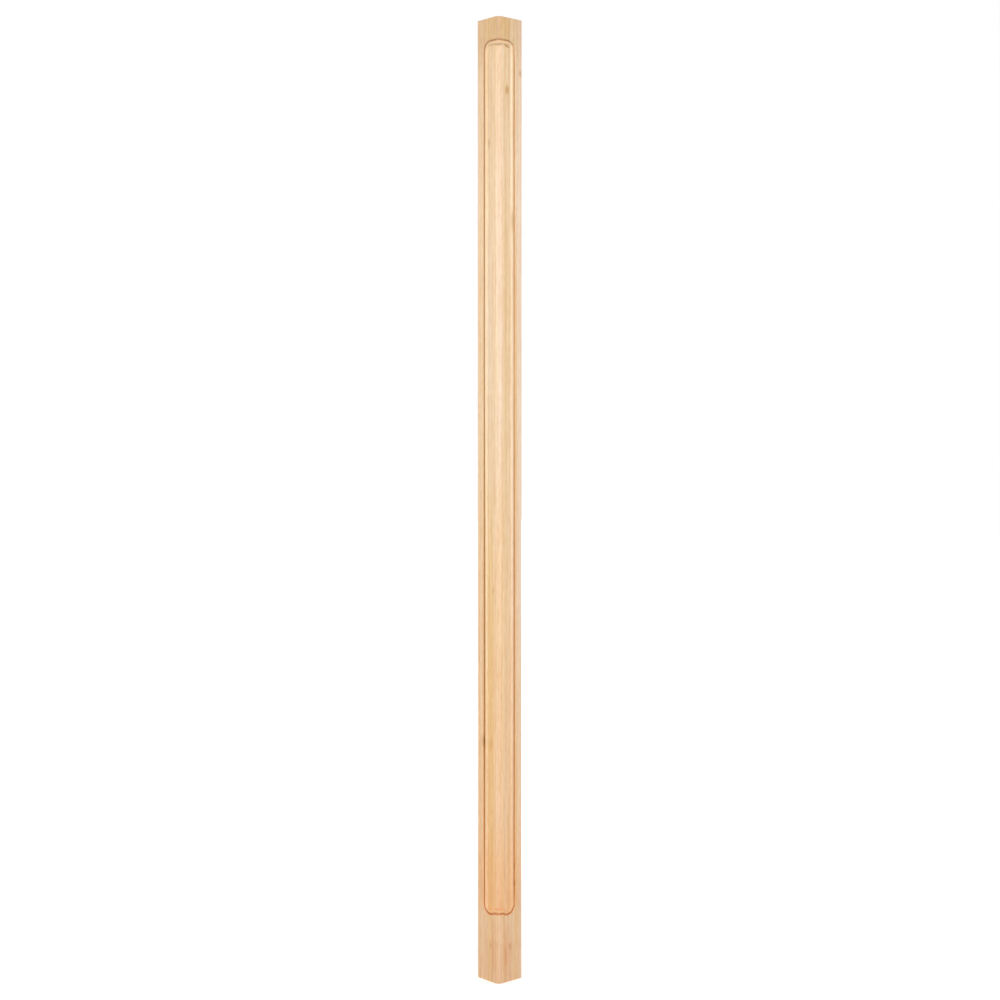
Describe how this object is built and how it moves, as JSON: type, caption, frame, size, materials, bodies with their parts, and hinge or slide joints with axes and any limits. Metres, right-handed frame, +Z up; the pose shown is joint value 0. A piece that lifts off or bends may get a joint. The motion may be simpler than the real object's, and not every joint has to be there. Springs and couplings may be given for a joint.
{
  "type": "corner post",
  "caption": "Square timber corner post with a rounded front arris that carries a stopped quirk-and-bead carving between plain end blocks, and flat back faces for fixing.",
  "frame": {"origin": "centre of the square foot, on the surface that the post stands on", "axes": "+Z up the post; -X and -Y out of the two carved show faces, so that the carved arris points to -X -Y; +X and +Y out of the two plain back faces"},
  "size_m": [0.0286, 0.0286, 0.8763],
  "materials": {
    "pale_hardwood": "sanded smooth, unfinished, straight grain up the post"
  },
  "bodies": {
    "root": {"corner_post": "pale_hardwood"}
  },
  "joints": []
}
